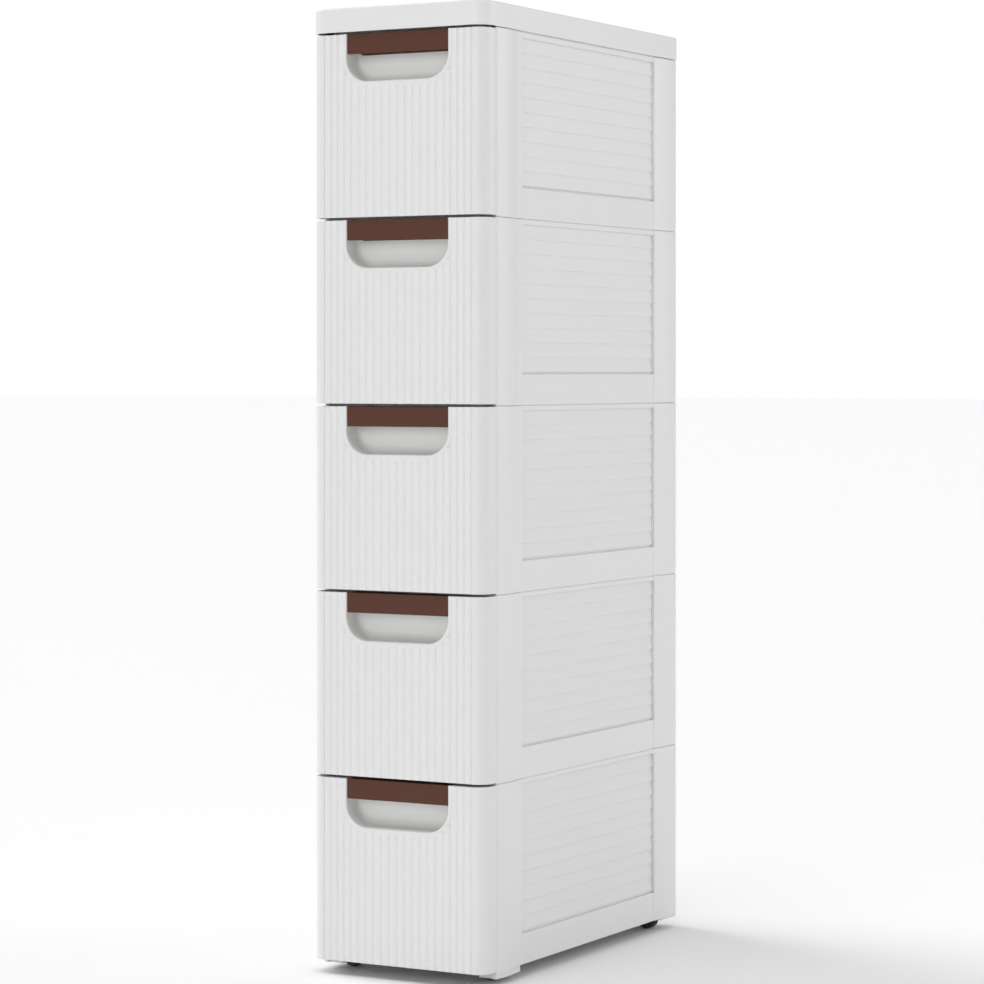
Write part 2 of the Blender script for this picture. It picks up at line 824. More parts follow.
@dataclass
class SidePanels:
    """Side panels with two bulged posts and lapped slats in a recess."""

    stack: Stack
    post_d: float = 0.040
    back_post_d: float = 0.0464
    back_crest: float = 0.028  # From the back post's front to the crest of its bulge
    bulge: float = 0.0018  # How far a post stands out over the flat
    nose: float = 0.0004  # Slope at the front edge
    nose_share: float = 0.955  # Share of the front half of the front post's arc that is kept
    corner_r: float = 0.003
    corner_lead: float = 8.0  # Degrees left out where the corner's round runs on from the post
    wrap_w: float = 0.020  # Width of the strip that wraps round the back
    groove_h: float = 0.0008  # Shadow groove at the seam
    groove_d: float = 0.0011
    recess_low: float = 0.028  # From the tier's lower and upper seam to the recess
    recess_top: float = 0.005
    recess_front: float = 0.0092  # From the posts to the recess
    recess_back: float = 0.002
    strip_inset: float = 0.0004  # Depth of the flat strips over and under the recess
    set_back: float = 0.0003  # How far the front face lies back in its gap
    slat_count: int = 10
    slat_rise: float = 0.0011
    slat_lip: float = 0.0013
    slat_soft: float = 0.0004
    slat_sink: float = 0.4  # Depth of a slat's root, in rises
    slat_groove: float = 0.002  # Height of the open groove under the lowest slat
    ledge_w: float = 0.008
    rail_top: float = 0.024
    rail_t: float = 0.003
    rail_r: float = 0.0005
    root: float = 0.0005  # How far inner parts reach into the panel
    peg_r: float = 0.002
    peg_h: float = 0.005
    peg_edge: float = 0.0006
    peg_lug: float = 0.006
    soft: float = 0.0003  # Round of the edges, and its middle point
    soft_mid: float = 0.0001
    support: float = 0.001  # Height of the level that keeps the skin's shading flat

    @property
    def y0(self) -> float:
        """Front of the panel."""
        return self.stack.panel_y

    @property
    def post_back(self) -> float:
        """Front of the back post."""
        return self.stack.depth - self.back_post_d

    @property
    def recess_y(self) -> tuple[float, float]:
        """Front and back end of the recess."""
        return self.y0 + self.post_d + self.recess_front, self.post_back - self.recess_back

    @property
    def inner(self) -> float:
        """Inner side of the panel, measured from its flat."""
        return -self.stack.wall - self.stack.recess_depth

    def outline(self, depth: float) -> list[Point]:
        """Plan of a right panel, X measured from its flat.

        Args:
            depth: How far its outer side lies back, as in the seam groove.

        Returns:
            The points, anticlockwise.
        """
        r = segment_radius(self.post_d, self.bulge)
        sweep = degrees(asin(self.post_d / 2 / r))
        end, wrap_end = self.stack.depth - depth, self.stack.depth - self.stack.wall
        front, nose = self.y0 + self.set_back, self.nose
        # The inner front corner, the small slope at the outer one, and the front post's face
        points = [(self.inner, front), (-depth - nose, front), (-depth - 0.3 * nose, front + 0.25 * nose)]
        points += arc(self.bulge - r - depth, self.y0 + self.post_d / 2, r, -sweep * self.nose_share,
                      sweep, steps=20)
        # The back post's face, and the round of the corner that runs on from it
        r, small = segment_radius(2 * self.back_crest, self.bulge), self.corner_r
        cx, cy = self.bulge - r - depth, self.post_back + self.back_crest
        turn = asin((end - small - cy) / (r - small))
        points += arc(cx, cy, r, -degrees(asin(self.back_crest / r)), degrees(turn), steps=24)
        points += arc(cx + (r - small) * cos(turn), cy + (r - small) * sin(turn), small,
                      degrees(turn) + self.corner_lead, 90, steps=7)
        return points + [(-self.wrap_w, end), (-self.wrap_w, wrap_end), (self.inner, wrap_end)]

    def panel(self, side: Side, groove_h: float) -> bpy.types.Object:
        """Shapes the skin of one panel of the lowest tier.

        Args:
            side: Which side it is on.
            groove_h: Height of the shadow groove at its top.

        Returns:
            The panel without what stands inside it.
        """
        tier, wall, soft = self.stack.tier, self.stack.wall, self.soft
        top = tier - groove_h
        edge = [(soft, 0.0), (self.soft_mid, self.soft_mid), (0.0, soft), (0.0, self.support)]
        outer = edge + [(depth, top - z) for depth, z in reversed(edge)]
        if groove_h:
            outer += [(self.groove_d, top), (self.groove_d, tier)]
        made = make_object("panel", loft([[Vector((x, y, z)) for x, y in self.outline(d)] for d, z in outer]))
        ya, yb = self.recess_y
        out, deep = self.bulge + OVER, self.inner - 2 * CLEAR
        carve(made, [
            block((-self.strip_inset, ya, -OVER), (out, yb, tier + OVER)),
            block((-self.stack.recess_depth, ya, self.recess_low), (out, yb, tier - self.recess_top)),
            block((deep, self.y0 + wall, wall), (-wall, ya - wall, tier - wall)),
            block((deep, yb + wall, wall), (-wall, self.stack.depth - wall - self.corner_r, tier - wall)),
            block((deep, ya, wall), (-wall, yb, self.recess_low - wall)),
        ])
        self._turn(made, side)
        soften(made, soft, angle=55)
        return self._seat(made, side)

    def inside(self, side: Side) -> bpy.types.Object:
        """Shapes the ledge, drawer rail, peg lugs and pegs of one panel of the lowest tier.

        Args:
            side: Which side they are on.

        Returns:
            All of them in one object.
        """
        tier, wall, inner, root = self.stack.tier, self.stack.wall, self.inner, self.inner + self.root
        y0, y1, lug = self.y0 + wall, self.stack.inner_back, self.peg_lug / 2
        x = inner - self.ledge_w
        parts = [block((x, y0, tier - wall), (root, y1, tier), self.soft),
                 block((x, y0, self.rail_top - self.rail_t), (root, y1, self.rail_top), self.rail_r)]
        for y in (y0 + lug, y1 - lug):
            parts.append(block((x, y - lug, 0), (root, y + lug, wall), self.soft))
            parts.append(upright(arc(inner - self.ledge_w / 2, y, self.peg_r, 0, 345, steps=23), round_levels(
                tier - self.root, tier + self.peg_h, self.soft_mid, self.peg_edge, steps=3)))
        made = join("panel_inside", *[make_object("inside", part) for part in parts])
        self._turn(made, side)
        smooth(made)
        return self._seat(made, side)

    def _seat(self, made: bpy.types.Object, side: Side) -> bpy.types.Object:
        """Moves a mesh measured from the panel's flat and the drawers' faces to its place."""
        made.data.transform(Matrix.Translation((side.value * self.stack.panel_x, 0, 0)))
        return self.stack.at_front(made)

    @staticmethod
    def _turn(made: bpy.types.Object, side: Side) -> None:
        """Makes a left-hand mesh of a right-hand one, where it is for the left side.

        Args:
            made: The object to change.
            side: Which side it is for.
        """
        if side is Side.LEFT:
            made.data.transform(Matrix.Scale(-1, 4, (1, 0, 0)))
            made.data.flip_normals()

    def slat_tree(self) -> GeometryTree:
        """Tree that stacks lapped slats: each stands out at its rounded lower lip and runs back upwards.

        Returns:
            The tree, with inputs for count, pitch, rise, lip, length, start and material.
        """
        tree = GeometryTree("lapped_slats", count=int, pitch=float, rise=float, lip=float, length=float,
                            start=tuple, material=bpy.types.Material)
        wiring, given = tree.wiring, tree.input
        sunk = wiring.maths("MULTIPLY", given["rise"], -self.slat_sink)
        corners = [wiring.vector(sunk, 0.0, 0.0), wiring.vector(given["rise"], 0.0, 0.0),
                   wiring.vector(given["rise"], 0.0, given["lip"]),
                   wiring.vector(0.0, 0.0, given["pitch"]),
                   wiring.vector(sunk, 0.0, given["pitch"])]
        line = wiring.add("GeometryNodeMeshLine", {"Count": len(corners)})
        pick = wiring.add("GeometryNodeIndexSwitch", data_type="VECTOR")
        while len(pick.index_switch_items) < len(corners):
            pick.index_switch_items.new()
        wiring.tree.links.new(wiring.add("GeometryNodeInputIndex").outputs[0], pick.inputs["Index"])
        for number, corner in enumerate(corners):
            wiring.tree.links.new(corner, pick.inputs[number + 1])
        bent = wiring.add("GeometryNodeSetPosition",
                          {"Geometry": line.outputs[0], "Position": pick.outputs[0]})
        curve = wiring.add("GeometryNodeMeshToCurve", {"Mesh": bent.outputs[0]})
        soft = wiring.add("GeometryNodeFilletCurve",
                          {"Curve": curve.outputs[0], "Count": 4, "Radius": self.slat_soft}, mode="POLY")
        section = wiring.add("GeometryNodeCurveToMesh", {"Curve": soft.outputs[0]})
        slat = wiring.add("GeometryNodeExtrudeMesh", {
            "Mesh": section.outputs[0], "Offset": wiring.vector(0.0, 1.0, 0.0),
            "Offset Scale": given["length"]}, mode="EDGES")
        places = wiring.add("GeometryNodeMeshLine", {
            "Count": given["count"], "Start Location": given["start"],
            "Offset": wiring.vector(0.0, 0.0, given["pitch"])}, mode="OFFSET")
        row = wiring.add("GeometryNodeInstanceOnPoints", {"Points": places.outputs[0],
                                                          "Instance": slat.outputs[0]})
        tree.close(row.outputs[0])
        return tree

    def slats(self, tree: GeometryTree, side: Side, finish: bpy.types.Material) -> bpy.types.Object:
        """Grows the slats of one panel of the lowest tier.

        Args:
            tree: The tree of the slats.
            side: Which side they are on.
            finish: Their material.

        Returns:
            All of them in one object.
        """
        ya, yb = self.recess_y
        z0 = self.recess_low + self.slat_groove
        pitch = (self.stack.tier - self.recess_top - z0) / self.slat_count
        made = tree.grow("slats", count=self.slat_count, pitch=pitch, rise=self.slat_rise, lip=self.slat_lip,
                         length=yb - ya, start=(-self.stack.recess_depth, ya, z0), material=finish)
        self._turn(made, side)
        smooth(made, angle=35)
        return self._seat(made, side)

    def build(self, wardrobe: Wardrobe) -> None:
        """Makes both sides of every tier. The top tier has no groove: the cover's own gap takes its place.

        Args:
            wardrobe: The finishes.
        """
        tree, finish, lifts = self.slat_tree(), wardrobe.materials[Slot.FRAME], self.stack.lifts
        top = {max(lifts): lifts[max(lifts)]}
        below = {tier: lift for tier, lift in lifts.items() if tier not in top}
        for side in Side:
            word = side.word
            for tiers, groove_h in ((below, self.groove_h), (top, 0.0)):
                wardrobe.dress_each(self.panel(side, groove_h), Slot.FRAME, f"panel_{word}", tiers,
                                    node=f"side_panel_{word}_#")
            wardrobe.dress_each(self.inside(side), Slot.FRAME, f"panel_ledges_{word}", lifts)
            wardrobe.dress_each(self.slats(tree, side, finish), Slot.FRAME, f"slats_{word}", lifts)


@dataclass
class Grip:
    """U shape of the finger opening, shared by the front, its rim and the pocket."""

    half: float = 0.0535
    low: float = 0.1251  # Height of its lowest edge
    r: float = 0.022  # Radius of its corners
    top: float = 0.1688
    lead: float = 0.0005  # Height of a support point over its corners

    def path(self, grow: float, drop: float, top: float, steps: int = 16) -> list[Point]:
        """Open U from its upper left end round to its upper right end.

        Args:
            grow: How much wider it is on each side.
            drop: How much deeper it is.
            top: Height of its ends.
            steps: Chords in each corner.

        Returns:
            Points in X and Z.
        """
        half, low, r = self.half + grow, self.low - drop, self.r + (grow + drop) / 2
        foot = low + r + self.lead
        return ([(-half, top), (-half, foot)] + arc(-half + r, low + r, r, 180, 270, steps)
                + arc(half - r, low + r, r, 270, 360, steps) + [(half, foot), (half, top)])

    def cutter(self, grow: float, y0: float, y1: float) -> bmesh.types.BMesh:
        """Closed prism of the opening, open at the top of the front.

        Args:
            grow: How much larger it is.
            y0, y1: Front and back.

        Returns:
            The new body.
        """
        path = self.path(grow, grow, self.top + CLEAR)
        return loft([[Vector((x, y, z)) for x, z in path] for y in (y1, y0)])


@dataclass
class DrawerFronts:
    """Drawer fronts with rounded corners, upright reeds and a smooth rim round the grip."""

    stack: Stack
    grip: Grip
    gap: float = 0.0024  # Gap between two fronts
    corner_r: float = 0.015
    wall: float = 0.002
    reed_h: float = 0.0014
    reed_edge: float = 0.0147  # From the tower's side to the outermost reed
    reed_step_in: float = 0.0046  # From the grip's side to the reeds under it
    reed_sink: float = 0.0003  # How deep a reed's flat side lies in the face
    reed_in: float = 0.7  # Share of the edges' round that the reeds leave out
    reed_steps: int = 15
    mid_count: int = 12
    side_count: int = 4
    bead_end: float = 12.0  # Degrees of the corner's round that the bead takes up
    rim_side: float = 0.005  # Width of the rim beside the grip and under it
    rim_low: float = 0.0065
    rim_in: float = 0.0017  # Roll of its inner edge
    rim_fade: float = 0.6  # Share of its width that slopes
    rim_rise: float = 1.15  # Height that the slope ends at, in reeds' heights
    rim_flat: float = 1.4  # Depth of the support point behind the roll, in rolls
    rim_gap: float = 0.00005  # How far the rim's ends lie under the top
    rim_lap: float = 0.0001  # How far its outer wall reaches past the slope
    rim_steps: int = 8
    lip_r: float = 0.0009  # Round of the wrapped edge
    soft: float = 0.00035
    grip_over: float = 0.0006  # How much wider the shell's own opening is, inside the rim
    pocket_d: float = 0.021

    @property
    def low(self) -> float:
        """Lower edge above the seam."""
        return self.gap / 2

    @property
    def top(self) -> float:
        """Upper edge above the seam."""
        return self.stack.tier - self.gap / 2

    @property
    def face_in(self) -> float:
        """Depth of the front's inner side."""
        return self.reed_h + self.wall

    def outline(self) -> list[Point]:
        """Closed plan: flat field behind the reeds, bead, rounded corners and wrapped sides.

        Returns:
            The points, anticlockwise.
        """
        w, r, lip_r = self.stack.width / 2, self.corner_r, self.lip_r
        field_x = w - self.reed_edge
        corner = [(w - r + r * sin(a), r - r * cos(a)) for a in
                  (radians(self.bead_end + (90 - self.bead_end) * i / FRONT_STEPS)
                   for i in range(FRONT_STEPS + 1))]
        x1, y1 = corner[0]
        bead = [(field_x + (x1 - field_x) * (1 - cos(a)), self.reed_h + (y1 - self.reed_h) * sin(a))
                for a in quarter(6)[:-1]]
        lip = arc(w - lip_r, self.stack.front_wrap - lip_r, lip_r, 0, 90, steps=4)
        right = [(0.0, self.reed_h)] + bead + corner + lip
        return [(-x, y) for x, y in right[:0:-1]] + right

    def shell(self) -> bpy.types.Object:
        """Shapes the smooth body: a hollow tray on edge with the grip cut out.

        Returns:
            The body without reeds and rim.
        """
        levels = round_levels(self.low, self.top, self.soft, self.soft, steps=3)
        body = make_object("shell", upright(self.outline(), levels))
        w, lid = self.stack.width / 2 - self.wall, self.top - self.wall
        back = self.stack.front_wrap + 2 * OVER
        inner_r = self.corner_r - self.wall
        hollow = (arc(w - inner_r, self.face_in + inner_r, inner_r, -90, 0, BACK_STEPS)
                  + [(w, back), (-w, back)]
                  + arc(-w + inner_r, self.face_in + inner_r, inner_r, 180, 270, BACK_STEPS))
        half = self.grip.half
        carve(body, [
            upright(hollow, [(0, -CLEAR), (0, lid)]),
            self.grip.cutter(self.grip_over, -OVER, self.face_in + OVER),
            block((-half, -OVER, lid - OVER), (half, self.pocket_d, self.top + CLEAR)),
        ])
        return body

    def reed_tree(self) -> GeometryTree:
        """Tree that sets round bars side by side so that they meet in sharp valleys.

        Each bar grows up to the rim round the grip, or past it to the full height where it stands beside it.

        Returns:
            The tree, with inputs for count, pitch, rise, sink, height, start, steps and material, and for the
            rim's lowest height above the bars' feet, its half width and the radius of its corners.
        """
        tree = GeometryTree("upright_reeds", count=int, pitch=float, rise=float, sink=float, height=float,
                            start=tuple, steps=int, rim_low=float, rim_half=float, rim_r=float,
                            material=bpy.types.Material)
        wiring, given = tree.wiring, tree.input
        chord2 = wiring.maths("MULTIPLY", wiring.maths("POWER", given["pitch"], 2.0), 0.25)
        rise2 = wiring.maths("POWER", given["rise"], 2.0)
        radius = wiring.maths("DIVIDE", wiring.maths("ADD", chord2, rise2),
                              wiring.maths("MULTIPLY", given["rise"], 2.0))
        reach = wiring.maths("SUBTRACT", wiring.maths("SUBTRACT", radius, given["rise"]), given["sink"])
        half = wiring.maths("ARCCOSINE", wiring.maths("DIVIDE", reach, radius))
        crest = wiring.add("GeometryNodeCurveArc", {
            "Resolution": given["steps"], "Radius": radius,
            "Start Angle": wiring.maths("SUBTRACT", -pi / 2, half),
            "Sweep Angle": wiring.maths("MULTIPLY", half, 2.0)}, mode="RADIUS")
        ring = wiring.add("GeometryNodeSetSplineCyclic", {"Geometry": crest.outputs[0], "Cyclic": True})
        placed = wiring.add("GeometryNodeTransform", {"Geometry": ring.outputs[0],
                                                      "Translation": wiring.vector(0.0, radius, 0.0)})
        foot = wiring.add("GeometryNodeFillCurve", {"Curve": placed.outputs[0]}, mode="NGONS")
        bar = wiring.add("GeometryNodeExtrudeMesh", {
            "Mesh": foot.outputs[0], "Offset": wiring.vector(0.0, 0.0, 1.0), "Offset Scale": 1.0,
            "Individual": False}, mode="FACES")
        sole = wiring.add("GeometryNodeFlipFaces", {"Mesh": foot.outputs[0]})
        both = wiring.add("GeometryNodeJoinGeometry")
        for part in (bar, sole):
            wiring.tree.links.new(part.outputs[0], both.inputs[0])
        whole = wiring.add("GeometryNodeMergeByDistance", {"Geometry": both.outputs[0], "Distance": MERGE})
        places = wiring.add("GeometryNodeMeshLine", {
            "Count": given["count"], "Start Location": given["start"],
            "Offset": wiring.vector(given["pitch"], 0.0, 0.0)}, mode="OFFSET")
        place = wiring.add("GeometryNodeInputPosition").outputs[0]
        across = wiring.maths("ABSOLUTE", wiring.add("ShaderNodeSeparateXYZ", {0: place}).outputs["X"])
        into = wiring.maths("MAXIMUM", wiring.maths("SUBTRACT", across, wiring.maths(
            "SUBTRACT", given["rim_half"], given["rim_r"])), 0.0)
        level = wiring.maths("SQRT", wiring.maths("MAXIMUM", wiring.maths(
            "SUBTRACT", wiring.maths("POWER", given["rim_r"], 2.0), wiring.maths("POWER", into, 2.0)), 0.0))
        under = wiring.maths("SUBTRACT", wiring.maths("ADD", given["rim_low"], given["rim_r"]), level)
        beside = wiring.maths("GREATER_THAN", across, given["rim_half"])
        tall = wiring.maths("MULTIPLY_ADD", beside, wiring.maths("SUBTRACT", given["height"], under), under)
        row = wiring.add("GeometryNodeInstanceOnPoints", {
            "Points": places.outputs[0], "Instance": whole.outputs[0],
            "Scale": wiring.vector(1.0, 1.0, tall)})
        tree.close(row.outputs[0])
        return tree

    def reeds(self, material: bpy.types.Material) -> bpy.types.Object:
        """Grows the reeds, which end under the rim.

        Args:
            material: Their finish.

        Returns:
            All reeds of one front.
        """
        tree, grip = self.reed_tree(), self.grip
        field_x = self.stack.width / 2 - self.reed_edge
        mid = grip.half - self.reed_step_in
        mid_pitch = 2 * mid / self.mid_count
        side_pitch = (field_x - mid) / self.side_count
        low, high = self.low + self.soft * self.reed_in, self.top - self.soft * self.reed_in
        under = self.rim_low * (1 - self.rim_fade) - self.reed_sink
        sets = [(self.mid_count, mid_pitch, -mid + mid_pitch / 2),
                (self.side_count, side_pitch, mid + side_pitch / 2),
                (self.side_count, side_pitch, -field_x + side_pitch / 2)]
        return join("reeds", *[
            tree.grow("reeds", count=count, pitch=pitch, rise=self.reed_h, sink=self.reed_sink,
                      height=high - low, start=(x, 0.0, low), steps=self.reed_steps,
                      rim_low=grip.low - under - low, rim_half=grip.half + self.rim_side,
                      rim_r=grip.r + (self.rim_side + under) / 2, material=material)
            for count, pitch, x in sets])

    def rim(self) -> bpy.types.Object:
        """Shapes the rim round the grip: a rolled inner edge, and a slope in which the reeds' valleys end.

        Returns:
            The rim, whose back lies on the front's inner side.
        """
        top = self.top - self.rim_gap
        inner = self.grip.path(0.0, 0.0, top)
        outer = self.grip.path(self.rim_side, self.rim_low, top)
        r, steps = self.rim_in, self.rim_steps
        rings = []
        for (xa, za), (xb, zb) in zip(inner, outer):
            start, reach = Vector((xa, 0, za)), Vector((xb - xa, 0, zb - za))
            width, way = reach.length, reach.normalized()
            fade = width * self.rim_fade
            section = [(0.0, self.face_in), (0.0, r * self.rim_flat)]
            section += [(r * (1 - cos(a)), r * (1 - sin(a))) for a in quarter(steps)]
            section += [(width - fade + fade * t, self.reed_h * self.rim_rise * t * t)
                        for t in (i / steps for i in range(steps + 1))]
            section += [(width + self.rim_lap, self.face_in)]
            rings.append([start + way * across + Vector((0, y, 0)) for across, y in section])
        return make_object("rim", loft(rings))

    def build(self, wardrobe: Wardrobe) -> None:
        """Makes one front and repeats it up the tower.

        Args:
            wardrobe: The finishes.
        """
        made = join("front", self.shell(), self.reeds(wardrobe.materials[Slot.FACE]), self.rim())
        smooth(made, angle=32)
        self.stack.at_front(made)
        wardrobe.dress_each(made, Slot.FACE, "front", self.stack.lifts, "drawer_#", "drawer_front_#")


@dataclass
class DrawerBoxes:
    """Drawer tubs with a rim bead, stop ears and the scooped finger pocket."""

    stack: Stack
    grip: Grip
    face_in: float = 0.0034  # Y of its front wall, behind the drawer's face
    half: float = 0.0843
    back: float = 0.3742
    floor_z: float = 0.0243
    rim_z: float = 0.158
    wall: float = 0.002
    floor: float = 0.0022
    corner_r: float = 0.012
    foot_r: float = 0.003
    floor_r: float = 0.004
    bead: float = 0.0006  # How far the rim's bead stands out
    bead_h: float = 0.003
    bead_edge: float = 0.0002  # Rounds of the rim and the bead
    ear_y: float = 0.3177  # Front of the stop ears
    ear_h: float = 0.0065
    ear_l: float = 0.004
    ear_r: float = 0.0005
    strip_h: float = 0.004  # How far under the rim the strips start that close the front wall beside the grip
    strip_gap: float = 0.0005
    strip_r: float = 0.0004
    pocket_d: float = 0.021
    pocket_r: float = 0.008  # Round between the pocket's floor and its back
    pocket_side_r: float = 0.003  # Round between its sides and its back
    pocket_wall: float = 0.0018
    pocket_flat: float = 0.002  # Straight length in front of that
    pocket_steps: int = 14
    lid_z: float = 0.1668  # Height of the pocket's ends

    def tub(self) -> bpy.types.Object:
        """Skins the tub from its underside over its rim to its floor, and opens it for the pocket.

        Returns:
            The open tub.
        """
        outline = round_plan(self.half, self.face_in, self.back, self.corner_r, self.corner_r)
        wall, bead, edge, rim, r = self.wall, self.bead, self.bead_edge, self.rim_z, self.floor_r
        bead_z, base = rim - self.bead_h, self.floor_z + self.floor
        levels = round_levels(self.floor_z, bead_z, self.foot_r, edge / 2, steps=5)
        # The bead round the rim, the wall's top and the wall's inner side down to the floor
        levels += [(-bead * 0.7, bead_z + edge / 2), (-bead, bead_z + bead), (-bead, rim - 4 * edge),
                   (-bead * 0.6, rim - edge), (0.0, rim), (wall * 0.7, rim), (wall, rim - bead),
                   (wall, bead_z - self.bead_h), (wall, base + 1.5 * r)]
        levels += [(wall + r * (1 - cos(a)), base + r * (1 - sin(a))) for a in quarter(6)]
        made = make_object("tub", upright(outline, levels))
        carve(made, [self.grip.cutter(OVER, self.face_in - 2 * OVER, self.face_in + wall + OVER)])
        return made

    def pocket(self) -> bpy.types.Object:
        """Scoop behind the grip: its floor turns up into its back wall, and its corners are round.

        Returns:
            The scoop, as thick as its wall.
        """
        depth, r, side_r = self.pocket_d, self.pocket_r, self.pocket_side_r
        depths = [self.face_in, depth - r - self.pocket_flat]
        depths += [depth - r + r * sin(a) for a in quarter(self.pocket_steps)]
        rings = []
        for y in depths:
            t = max(0.0, y - (depth - r))
            lift = r - sqrt(max(0.0, r ** 2 - t * t))
            s = max(0.0, y - (depth - side_r))
            narrow = side_r - sqrt(max(0.0, side_r ** 2 - s * s))
            rings.append([Vector((x, y, z)) for x, z in self.grip.path(-narrow, -lift, self.lid_z)])
        made = make_object("pocket", loft(rings, closed=False, low_cap=False))
        made.data.shade_smooth()
        thick = made.modifiers.new("thick", "SOLIDIFY")
        thick.thickness, thick.offset = self.pocket_wall, -1
        return bake(made)

    def shape(self) -> bpy.types.Object:
        """Joins tub, pocket, front strips and stop ears.

        Returns:
            The whole drawer box of the lowest tier.
        """
        edge, start, end = self.bead_edge, self.grip.half + self.strip_gap, self.half - self.corner_r
        parts = []
        for s in (-1, 1):
            parts.append(block((s * start, self.face_in, self.rim_z - self.strip_h),
                               (s * end, self.face_in + self.wall, self.lid_z), self.strip_r))
            parts.append(block((s * (self.half - self.wall + edge), self.ear_y, self.rim_z - self.bead_h),
                               (s * self.half, self.ear_y + self.ear_l, self.rim_z + self.ear_h), self.ear_r))
        made = join("tub", self.tub(), self.pocket(), *[make_object("strip", p) for p in parts])
        smooth(made)
        return self.stack.at_front(made)

    def build(self, wardrobe: Wardrobe) -> None:
        """Makes one tub and repeats it up the tower."""
        wardrobe.dress_each(self.shape(), Slot.TUB, "tub", self.stack.lifts, "drawer_#", "drawer_box_#")


@dataclass
class HandleBars:
    """Dark channels across the grips."""

    stack: Stack
    half: float = 0.0533
    y0: float = 0.0015
    y1: float = 0.0208
    top: float = 0.1688
    height: float = 0.0184
    back_r: float = 0.008  # Lower corners of the back
    back_steps: int = 9
    back_lead: float = 0.06  # Share of that corner which the end's own round takes up
    wall: float = 0.002
    corner: float = 0.0006  # Round of the other edges
    end_r: float = 0.0004  # Round of the ends

    def section(self, rise: float) -> list[Point]:
        """Closed section in Y and Z: face with a rolled lower edge, top and back.

        Args:
            rise: How much higher the back ends than the face.

        Returns:
            The points, anticlockwise.
        """
        r, c = self.wall / 2, self.corner
        face_z = self.top - self.height
        back_z = face_z + rise
        y2, y3, under = self.y0 + self.wall, self.y1 - self.wall, self.top - self.wall
        return (arc(self.y0 + r, face_z + r, r, 180, 360, steps=8)
                + arc(y2 + c, under - c, c, 180, 90, steps=3) + arc(y3 - c, under - c, c, 90, 0, steps=3)
                + arc(y3 + r, back_z + r, r, 180, 360, steps=8)
                + arc(self.y1 - c, self.top - c, c, 0, 90, steps=4)
                + arc(self.y0 + c, self.top - c, c, 90, 180, steps=4))

    def build(self, wardrobe: Wardrobe) -> None:
        """Makes one bar, whose back has round lower corners, and repeats it up the tower.

        Args:
            wardrobe: The finishes.
        """
        r, lead, steps = self.back_r, self.back_lead, self.back_steps
        levels = [(0.75 * self.end_r, 0.0), (0.25 * self.end_r, 0.25 * self.end_r), (0.0, self.end_r)]
        levels += [(0.0, r * (lead + (1 - lead) * i / steps)) for i in range(1, steps + 1)]
        ends = []
        for depth, along in levels:
            lift = r - sqrt(r * r - (r - along) ** 2)
            ends.append((along - self.half, inset(self.section(lift), depth)))
        ends += [(-x, outline) for x, outline in reversed(ends)]
        rings = [[Vector((x, y, z)) for y, z in outline] for x, outline in ends]
        made = self.stack.at_front(make_object("bar", loft(rings)))
        smooth(made)
        wardrobe.dress_each(made, Slot.HANDLE, "handle", self.stack.lifts, "drawer_#", "handle_bar_#")


@dataclass
class Carcass:
    """Back panels, shelves and base plate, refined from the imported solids."""

    stack: Stack
    soft: float = 0.0004

    def build(self, wardrobe: Wardrobe) -> None:
        """Dresses a refined copy of each.

        Args:
            wardrobe: The finishes.
        """
        count = self.stack.count
        pieces = [(f"back_panel_{i}", Slot.FRAME) for i in range(1, count + 1)]
        pieces += [(f"divider_shelf_{i}", Slot.FRAME) for i in range(1, count)]
        pieces.append(("base_plate", Slot.BASE))
        for node, slot in pieces:
            wardrobe.dress(refined_copy(node, self.soft), slot, "root", node)


